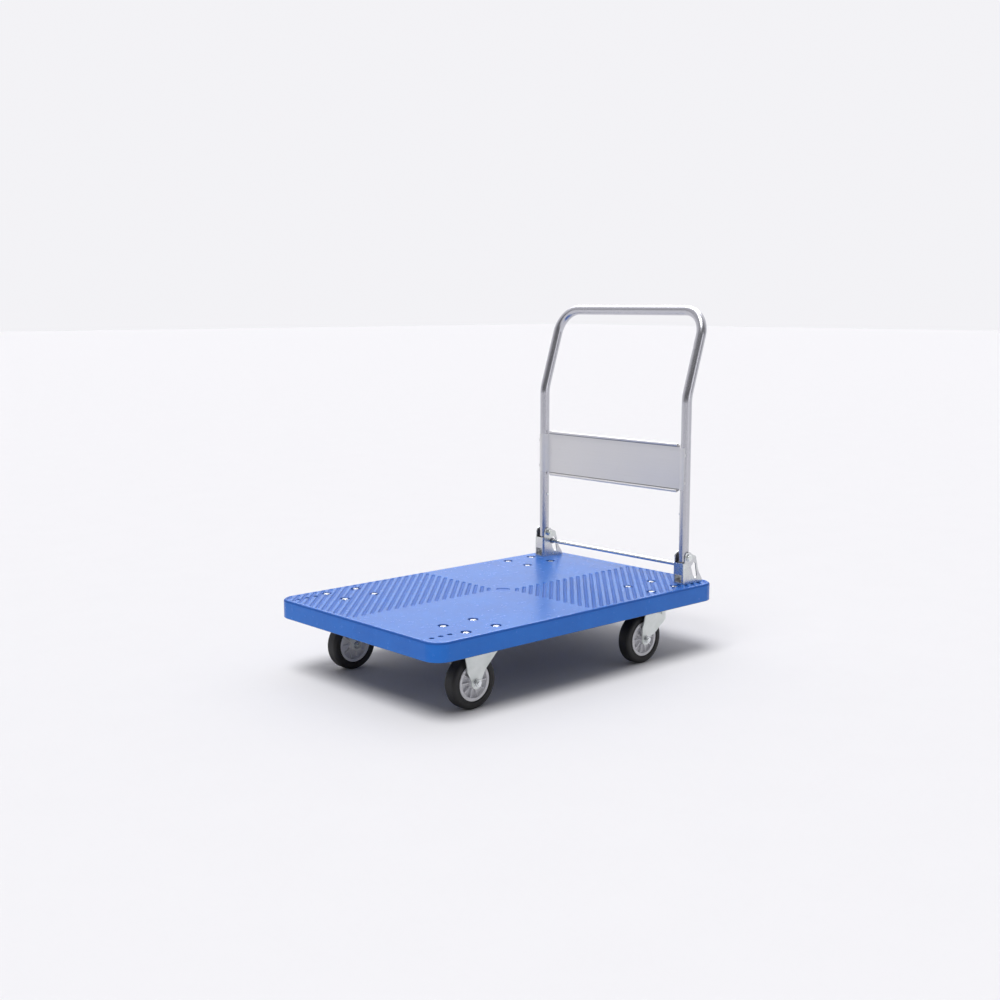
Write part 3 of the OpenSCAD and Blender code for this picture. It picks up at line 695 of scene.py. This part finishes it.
def deck_recipe():
    top = deck_height / 2
    recipe = Recipe("deck_recipe", **{
        "Length": deck_length, "Width": deck_width, "Border": BORDER, "Band": BAND,
        "Pitch": GROOVE_PITCH, "Grooves": GROOVES, "Groove width": GROOVE_WIDTH,
        "Rod height": top - GROOVE_DEPTH + rod_radius, "Seed": scoop_seed(rod_radius),
        "Caster X": 2 * rear_caster.x, "Caster Y": 2 * rear_caster.y, "Hole X": HOLE_X,
        "Hole Y": HOLE_Y, "Row X": 2 * handle_row.x, "Row Y": 2 * row_y, "Row run": ROW_RUN})
    start = recipe["Geometry"]
    seed = recipe.node("GeometryNodeObjectInfo", None, {"Object": recipe["Seed"]},
                       output="Geometry")
    plate_holes = recipe.copies(recipe.grid(recipe["Caster X"], recipe["Caster Y"], 2, 2),
                                recipe.grid(recipe["Hole X"], recipe["Hole Y"], 2, 2))
    row_holes = recipe.copies(recipe.grid(recipe["Row X"], 0.0, 2, 1),
                              recipe.grid(recipe["Row run"], recipe["Row Y"], 3, 2))

    rib_low = top - RIB_REACH
    rib_high = top - RIB_LAP
    rib_size = rib_high - rib_low
    rib_z = (0, 0, (rib_low + rib_high) / 2)
    across = ribs(recipe, 11, 1, RIB_PITCH, (RIB, deck_width - WALL, rib_size))
    along = ribs(recipe, 1, 7, RIB_PITCH, (deck_length - WALL, RIB, rib_size))
    boss_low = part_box("rear_left_plate")[1].z - deck_middle.z
    boss_size = rib_high - boss_low
    boss_z = (0, 0, (boss_low + rib_high) / 2)
    bosses = recipe.moved(recipe.copies(plate_holes, recipe.rod(PLATE_BOSS, boss_size, 40)),
                          translation=boss_z)
    row_bosses = recipe.moved(recipe.copies(row_holes, recipe.rod(ROW_BOSS, boss_size, 32)),
                              translation=boss_z)
    body = recipe.boolean("UNION", None, [start, recipe.moved(across, translation=rib_z),
                                          recipe.moved(along, translation=rib_z),
                                          bosses, row_bosses])

    bore = recipe.rod(BORE, 2 * deck_height, 28)
    pocket = recipe.rod(POCKET, 2 * POCKET_DEPTH, 48)
    disc = recipe.moved(recipe.rod(DISC, 2 * DISC_DEPTH, 64), translation=(0, 0, top))
    at_top = (0, 0, top)
    flare = recipe.node("GeometryNodeMeshCone", None, {
        "Vertices": 28, "Radius Top": FLARE, "Radius Bottom": BORE,
        "Depth": FLARE_DEPTH + 0.2 * MM})
    flares = recipe.moved(recipe.copies(row_holes, flare), translation=(0, 0, top - FLARE_DEPTH))
    cuts = [recipe.moved(recipe.copies(plate_holes, pocket), translation=at_top), disc, flares]
    drilled = recipe.boolean("DIFFERENCE", body, [recipe.copies(plate_holes, bore),
                                                  recipe.copies(row_holes, bore)])
    grooved = recipe.boolean("DIFFERENCE", drilled, groove_rods(recipe, seed))
    whole = recipe.boolean("DIFFERENCE", grooved, cuts)
    # The faces that look down are stored as "under", so the deck's material can paint them dark as
    # shade.
    facing = recipe.node("GeometryNodeInputNormal")
    downward = recipe.node("ShaderNodeSeparateXYZ", None, {"Vector": facing}, output="Z") < -0.5
    marked = recipe.node("GeometryNodeStoreNamedAttribute",
                         {"data_type": "FLOAT", "domain": "FACE"},
                         {"Geometry": whole, "Name": "under", "Value": downward})
    return recipe, marked


recipe, whole_deck = deck_recipe()
deck_mesh = recipe.make("deck_moulding", whole_deck, blue, deck_tray())
deck_mesh.transform(Matrix.Translation(deck_middle))
finish_piece(new_object("deck_moulding", deck_mesh), None, "platform", "deck_plastic", "deck_shell")
bpy.data.objects.remove(bpy.data.objects["scoop_seed"])

# %% [markdown]
# ## Wheels
# A tyre and a hub are turned shapes, so each is an outline spun round the axle. The tyre has
# round shoulders, two fine rings on each side and a faint seam where its mould halves meet.
# The ten ribs of the hub repeat, so a recipe turns one blade about the axle and joins them all.

# %% Tyre and hub
TURNS = 96
tyre_low, tyre_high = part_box("front_left_tyre")
tyre_radius = (tyre_high.z - tyre_low.z) / 2
tyre_half = (tyre_high.y - tyre_low.y) / 2


def both_halves(half):
    """A closed outline from the half that has y above 0."""
    return half + [(r, -y) for r, y in reversed(half)]


def tyre_outline():
    shoulder = 9 * MM
    half = tyre_half
    side = [(41 * MM, half - 3 * MM), (44.4 * MM, half - 3 * MM), (45.2 * MM, half - 0.8 * MM),
            (46.2 * MM, half)]
    for ring in (48.5 * MM, 51.0 * MM):
        side += [(ring - 0.6 * MM, half), (ring, half - 0.45 * MM), (ring + 0.6 * MM, half)]
    tread = arc((tyre_radius - shoulder, half - shoulder), shoulder, 90, 0, 12)
    seam = [(tyre_radius, 0.8 * MM), (tyre_radius + 0.12 * MM, 0.4 * MM)]
    return both_halves(side + tread + seam)


def hub_outline():
    web, rim, boss = 7 * MM, 16.5 * MM, 20 * MM
    return both_halves([
        (9 * MM, boss - 0.8 * MM), (9.8 * MM, boss), (13 * MM, boss), (14 * MM, boss - 1 * MM),
        (14.8 * MM, web + 1 * MM), (16.5 * MM, web), (33.5 * MM, web), (35.2 * MM, web + 1 * MM),
        (36 * MM, rim - 0.8 * MM), (36.8 * MM, rim), (42.6 * MM, rim), (43.5 * MM, rim - 0.7 * MM),
        (43.3 * MM, rim - 1.5 * MM), (41 * MM, rim - 1.5 * MM)])


def hub_mesh():
    recipe = Recipe("hub_recipe", Ribs=10, Thick=2.5 * MM, Inner=12 * MM, Outer=37 * MM,
                    Tall=28 * MM)
    blade = recipe.node("GeometryNodeMeshCube", None, {"Size": recipe.vector(
        recipe["Outer"] - recipe["Inner"], recipe["Tall"], recipe["Thick"])})
    middle = recipe.vector((recipe["Outer"] + recipe["Inner"]) / 2, 0.0, 0.0)
    turn = recipe.node("GeometryNodeInputIndex") * (2 * math.pi) / recipe["Ribs"]
    axle = recipe.node("GeometryNodePoints", None, {"Count": recipe["Ribs"]})
    blades = recipe.copies(axle, recipe.moved(blade, translation=middle),
                           rotation=recipe.vector(0.0, turn, 0.0))
    start = recipe["Geometry"]
    whole = recipe.boolean("UNION", None, [start, blades])
    return recipe.make("hub", whole, hub_grey, lathe("hub_outline", hub_outline(), TURNS))


tyre_mesh = lathe("tyre", tyre_outline(), TURNS)
ribbed_hub = hub_mesh()
for corner in ("front_left", "front_right", "rear_left", "rear_right"):
    at_axle = Matrix.Translation(centre_of(corner + "_tyre"))
    for kind, mesh, material, slot in (("tyre", tyre_mesh, tyre_black, "tyre_rubber"),
                                       ("hub", ribbed_hub, hub_grey, "hub_plastic")):
        node = corner + "_" + kind
        placed = mesh.copy()
        placed.transform(at_axle)
        finish_piece(new_object(node + "_turned", placed), material, "wheel_" + corner, slot, node)
print("tyre radius", round(tyre_radius, 4))

# %% [markdown]
# ## Springs
# Two coil springs push the lock bar up. Round wire on a helix is one spiral curve with a
# circle swept along it.

# %% Lock springs
COILS = 6
COIL_RADIUS = 4 * MM
WIRE = 0.5 * MM
FOOT_GAP = 2.3 * MM
BAR_GAP = 6 * MM


def spring_mesh(length):
    recipe = Recipe("spring_recipe", Coils=float(COILS), Wire=WIRE, Radius=COIL_RADIUS,
                    Length=length)
    coil = recipe.node("GeometryNodeCurveSpiral", None, {
        "Resolution": 28, "Rotations": recipe["Coils"], "Start Radius": recipe["Radius"],
        "End Radius": recipe["Radius"], "Height": recipe["Length"]})
    wire = recipe.node("GeometryNodeCurvePrimitiveCircle", None,
                       {"Resolution": 8, "Radius": recipe["Wire"]})
    swept = recipe.node("GeometryNodeCurveToMesh", None,
                        {"Curve": coil, "Profile Curve": wire, "Fill Caps": True})
    return recipe.make("spring", swept, dark_wire)


bolt_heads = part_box("bracket_bolts")
bar = centre_of("lock_bar")
foot = Vector((centre_of("bracket_bolts").x, 0, bolt_heads[1].z + FOOT_GAP))
run = Vector((bar.x, 0, bar.z)) - foot
spring_length = run.length - BAR_GAP
spring_axis = run.normalized()
coil_mesh = spring_mesh(spring_length)
for side, y in (("left", -row_y), ("right", row_y)):
    placed = coil_mesh.copy()
    lean = spring_axis.to_track_quat("Z", "Y").to_matrix().to_4x4()
    foot_here = foot + Vector((0, y, 0))
    placed.transform(Matrix.Translation(foot_here) @ lean)
    spring = finish_piece(new_object("spring_" + side, placed), None, "platform", "spring_steel",
                          "lock_spring_" + side)
    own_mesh(spring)

# %% [markdown]
# ## Bolts and nuts
# Every bolt of the deck has the same hexagon head with its upper corners turned off. One recipe
# makes it and puts it on a pattern of places, which is a small grid on each point of a big one.

# %% Hexagon fasteners
CROWN = 0.89
SLOPE = 1.8
SHANK_LAP = 0.3 * MM
NUT_BORE = 30 * MM


def hexagon(recipe, radius, height):
    """A hexagon standing on z = 0, with its upper corners turned off."""
    prism = recipe.moved(recipe.rod(radius, height, 6),
                         translation=recipe.vector(0.0, 0.0, height / 2))
    cone = recipe.node("GeometryNodeMeshCone", None, {
        "Vertices": 48, "Radius Top": radius * CROWN, "Radius Bottom": radius * CROWN + height * SLOPE,
        "Depth": height})
    return recipe.boolean("INTERSECT", None, [prism, cone])


def fasteners(name, node, places, shape, upside_down=False):
    """Bolts or nuts on a grid of grids.

    places is a big grid and a small one, each (x, y, count x, count y), and a middle. shape is
    the head's radius and height, then the shank's radius and length.
    """
    outer, inner, middle = places
    recipe = Recipe(name + "_recipe", **{"Head radius": shape[0], "Head height": shape[1],
                                         "Shank radius": shape[2], "Shank length": shape[3]})
    head = hexagon(recipe, recipe["Head radius"], recipe["Head height"])
    shank = recipe.rod(recipe["Shank radius"], recipe["Shank length"], 24)
    lowered = recipe.moved(shank, translation=recipe.vector(
        0.0, 0.0, (recipe["Head height"] - recipe["Shank length"]) / 2 - SHANK_LAP))
    if node.endswith("nuts"):
        single = recipe.boolean("DIFFERENCE", head, [shank])
        if upside_down:
            single = recipe.moved(single, rotation=(math.pi, 0.0, 0.0))
    else:
        single = recipe.boolean("UNION", None, [head, lowered])
    spots = recipe.copies(recipe.grid(*outer), recipe.grid(*inner))
    mesh = recipe.make(name, recipe.copies(spots, single), bright_zinc)
    mesh.transform(Matrix.Translation(middle))
    finish_piece(new_object(name, mesh), None, "platform", "zinc_steel", node)


def plane_at(x, z):
    return Vector((x, 0, z))


caster_spots = ((2 * rear_caster.x, 2 * rear_caster.y, 2, 2), (HOLE_X, HOLE_Y, 2, 2))
row_spots = ((0.0, 2 * row_y, 1, 2), (ROW_RUN, 0.0, 3, 1))
HEAD = (7.5 * MM, 5.3 * MM, 4 * MM)
NUT = (7.5 * MM, 6.5 * MM, 4 * MM)
caster_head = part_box("caster_bolts")
caster_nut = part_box("caster_nuts")
row_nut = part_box("bracket_nuts")
row_x = centre_of("bracket_bolts").x
fasteners("hex_caster_bolts", "caster_bolts",
          (*caster_spots, plane_at(deck_middle.x, caster_head[1].z - HEAD[1])),
          (*HEAD, caster_head[1].z - caster_head[0].z - SHANK_LAP))
fasteners("hex_row_bolts", "bracket_bolts",
          (*row_spots, plane_at(row_x, bolt_heads[1].z - HEAD[1])),
          (*HEAD, bolt_heads[1].z - bolt_heads[0].z - SHANK_LAP))
fasteners("hex_caster_nuts", "caster_nuts",
          (*caster_spots, plane_at(deck_middle.x, caster_nut[1].z)),
          (*NUT, NUT_BORE), upside_down=True)
fasteners("hex_row_nuts", "bracket_nuts", (*row_spots, plane_at(row_x, row_nut[1].z)),
          (*NUT, NUT_BORE), upside_down=True)

# %% [markdown]
# ## Handle hoop
# The push handle is one tube bent four times. Six corner points describe it. Each point keeps
# its own bend radius, a recipe rounds the corners with it and sweeps a circle along the path.

# %% Swept tube
TUBE = 12.7 * MM
SPIGOT = 11 * MM
KINK_RISE = 471 * MM
KINK_BEND = 90 * MM
CORNER_BEND = 65 * MM
panel_x = centre_of("handle_leg_left").x
hoop_low, hoop_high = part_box("handle_hoop")
seam_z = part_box("handle_leg_left")[1].z
spigot_length = seam_z - hoop_low.z
bar_x = hoop_high.x - TUBE
bar_z = hoop_high.z - TUBE
kink_z = deck_top + KINK_RISE


def hoop_path():
    """Corner points joined by edges, each with its bend radius."""
    mesh = bpy.data.meshes.new("hoop_path")
    side = [((panel_x, seam_z), 0.0), ((panel_x, kink_z), KINK_BEND), ((bar_x, bar_z), CORNER_BEND)]
    points = ([(x, -row_y, z) for (x, z), _ in side]
              + [(x, row_y, z) for (x, z), _ in reversed(side)])
    mesh.from_pydata(points, [(i, i + 1) for i in range(5)], [])
    bends = [bend for _, bend in side] + [bend for _, bend in reversed(side)]
    mesh.attributes.new("bend", "FLOAT", "POINT").data.foreach_set("value", bends)
    return mesh


recipe = Recipe("hoop_recipe", **{"Tube radius": TUBE, "Spigot radius": SPIGOT,
                                  "Spigot length": spigot_length, "Span": 2 * row_y})
start = recipe["Geometry"]
path = recipe.node("GeometryNodeMeshToCurve", None, {"Mesh": start})
bend = recipe.named("bend")
rounded = recipe.node("GeometryNodeFilletCurve", {"mode": "POLY"},
                      {"Curve": path, "Count": 16, "Radius": bend, "Limit Radius": True})
circle = recipe.node("GeometryNodeCurvePrimitiveCircle", None,
                     {"Resolution": 56, "Radius": recipe["Tube radius"]})
tube = recipe.node("GeometryNodeCurveToMesh", None,
                   {"Curve": rounded, "Profile Curve": circle, "Fill Caps": True})
spigots = recipe.copies(
    recipe.moved(recipe.grid(0.0, recipe["Span"], 1, 2),
                 translation=(panel_x, 0.0, seam_z - spigot_length / 2 + 0.2 * MM)),
    recipe.rod(recipe["Spigot radius"], recipe["Spigot length"], 40))
hoop = recipe.node("GeometryNodeJoinGeometry", None, {"Geometry": [tube, spigots]})
finish_piece(new_object("hoop_tube", recipe.make("hoop_tube", hoop, silver_tube, hoop_path())),
             None, "handle", "satin_tube", "handle_hoop")

# %% [markdown]
# ## Pressed and turned steel
# The other CAD pieces already have the right shape, but their edges are perfectly sharp. Sheared
# sheet and turned bolts never are: each edge is eased by a few tenths of a millimetre and catches
# a line of light. Each piece is copied, its doubled corners are merged, its flat faces become one
# face again and a small bevel goes round its edges.

# %% Copies with eased edges
SAME_POINT = 0.01 * MM
FLAT = math.radians(0.6)


def eased_copy(node, material, slot, edge):
    source = bpy.data.objects[node]
    body = body_of(source)[0]
    work = bmesh.new()
    work.from_mesh(source.data)
    bmesh.ops.transform(work, matrix=source.matrix_world, verts=work.verts)
    bmesh.ops.remove_doubles(work, verts=work.verts, dist=SAME_POINT)
    bmesh.ops.dissolve_limit(work, angle_limit=FLAT, verts=work.verts, edges=work.edges)
    mesh = mesh_from(work, node + "_eased")
    if "custom_normal" in mesh.attributes:
        mesh.attributes.remove(mesh.attributes["custom_normal"])
    finish_piece(new_object(node + "_eased", mesh), material, body, slot, node, edge=edge)


CASTERS = ("front_left", "front_right", "rear_left", "rear_right")
SHEET_EDGE = 0.5 * MM
SMALL_EDGE = 0.3 * MM
eased = [("bracket_left", bracket_zinc, "zinc_steel", SHEET_EDGE),
         ("bracket_right", bracket_zinc, "zinc_steel", SHEET_EDGE),
         ("handle_leg_left", silver_tube, "satin_tube", SMALL_EDGE),
         ("handle_leg_right", silver_tube, "satin_tube", SMALL_EDGE),
         ("handle_panel", silver_sheet, "satin_sheet", SMALL_EDGE),
         ("joint_screws", bright_zinc, "zinc_steel", SMALL_EDGE),
         ("pivot_bolts", bright_zinc, "zinc_steel", SMALL_EDGE),
         ("pivot_nuts", bright_zinc, "zinc_steel", SMALL_EDGE),
         ("pivot_spacers", dark_plastic, "spacer_plastic", SMALL_EDGE),
         ("lock_bar", bright_zinc, "zinc_steel", SMALL_EDGE),
         ("lock_clips", dark_wire, "spring_steel", 0.1 * MM),
         ("stop_pads", stop_black, "stop_rubber", SHEET_EDGE),
         ("caster_washers", bright_zinc, "zinc_steel", 0.15 * MM)]
for corner in CASTERS:
    eased += [(corner + "_fork", pressed_zinc, "zinc_steel", SHEET_EDGE),
              (corner + "_axle", bright_zinc, "zinc_steel", SMALL_EDGE),
              (corner + "_nut", bright_zinc, "zinc_steel", SMALL_EDGE),
              (corner + "_bearing", dark_plastic, "bearing_plastic", SMALL_EDGE)]
for corner in CASTERS[2:]:
    eased += [(corner + "_plate", pressed_zinc, "zinc_steel", SHEET_EDGE),
              (corner + "_race", bright_zinc, "zinc_steel", SMALL_EDGE),
              (corner + "_kingpin", bright_zinc, "zinc_steel", SMALL_EDGE)]
for row in eased:
    eased_copy(*row)
print("copies with eased edges:", len(eased))

# %% [markdown]
# ## Floor, light and camera
# A pale floor meets a background of the same brightness, so the cart stands on nothing in
# particular. One soft lamp comes over the left shoulder. The surroundings are white ahead and
# overhead and grey behind the camera, which gives the plated parts something to mirror. Only
# mirror reflections see the brightest patches, and the camera sees an even backdrop.

# %% Camera
TURN = math.radians(42.5)
TILT = math.radians(8.5)
CAMERA_PLACE = (-2.1705, -2.354, 0.8916)
LENS = 47.31

look = Vector((math.sin(TURN) * math.cos(TILT), math.cos(TURN) * math.cos(TILT), -math.sin(TILT)))
camera = bpy.data.objects.new("camera", bpy.data.cameras.new("camera"))
camera.data.lens = LENS
camera.location = CAMERA_PLACE
camera.rotation_euler = look.to_track_quat("-Z", "Y").to_euler()
scene = bpy.context.scene
scene.collection.objects.link(camera)
scene.camera = camera
scene.view_settings.view_transform = "Standard"


# %% Floor
PAPER_SHADE = (0.83, 0.825, 0.845)
PAPER_LIGHT = (0.85, 0.845, 0.865)


def floor_material():
    finish = Finish("floor_paper", IOR=1.1)
    fibre = finish.noise(6.0, 4.0, 0.6)
    finish.paint(colour=finish.mixed(fibre, PAPER_SHADE, PAPER_LIGHT),
                 roughness=0.85 + fibre * 0.1)
    return finish.material


FLOOR = 40.0
floor_mesh = bpy.data.meshes.new("floor")
floor_mesh.from_pydata([(-FLOOR, -FLOOR, 0), (FLOOR, -FLOOR, 0), (FLOOR, FLOOR, 0),
                        (-FLOOR, FLOOR, 0)], [], [(0, 1, 2, 3)])
floor_mesh.materials.append(floor_material())
floor = new_object("floor", floor_mesh)

# %% Lamp and surroundings
LAMP_POWER = 2.25
LAMP_SPREAD = math.radians(32)
LAMP_AIM = Vector((0.060, 0.030, -0.1435))
BACKDROP_LEVEL = 0.92
BACKDROP_TINT = (0.975, 0.97, 1.0, 1.0)

lamp = bpy.data.objects.new("key_lamp", bpy.data.lights.new("key_lamp", "SUN"))
lamp.data.energy = LAMP_POWER
lamp.data.angle = LAMP_SPREAD
lamp.rotation_euler = LAMP_AIM.to_track_quat("-Z", "Y").to_euler()
scene.collection.objects.link(lamp)

surroundings = bpy.data.worlds.new("surroundings")
surroundings.use_nodes = True
scene.world = surroundings
wiring = Wiring(surroundings.node_tree)
direction = wiring.node("ShaderNodeTexCoord", output="Generated")


def facing(*target):
    """How nearly a ray heads towards target."""
    return wiring.node("ShaderNodeVectorMath", {"operation": "DOT_PRODUCT"},
                       {0: direction, 1: target}, output="Value")


def ramp(value, low, high, dark, bright):
    return wiring.node("ShaderNodeMapRange", None, {
        "Value": value, "From Min": low, "From Max": high, "To Min": dark, "To Max": bright})


ahead = facing(look.x, look.y, 0.35)
upward = facing(0.38, 0.42, 0.82)
rightward = facing(0.0, -1.0, 0.0)
soft = ramp(ahead, -0.5, 0.7, 0.22, 0.62)
mirrored = (ramp(ahead, -0.4, 0.6, 0.16, 0.95) + ramp(upward, 0.84, 0.94, 0.0, 7.0)
            + ramp(rightward, 0.93, 0.985, 0.0, 1.6))
seen = wiring.node("ShaderNodeLightPath", output="Is Camera Ray")
glossy = wiring.node("ShaderNodeLightPath", output="Is Glossy Ray")
level = soft * (1.0 - glossy) + mirrored * glossy
backdrop = surroundings.node_tree.nodes["Background"]
backdrop.inputs["Color"].default_value = BACKDROP_TINT
wiring.feed(backdrop.inputs["Strength"], level * (1.0 - seen) + seen * BACKDROP_LEVEL)
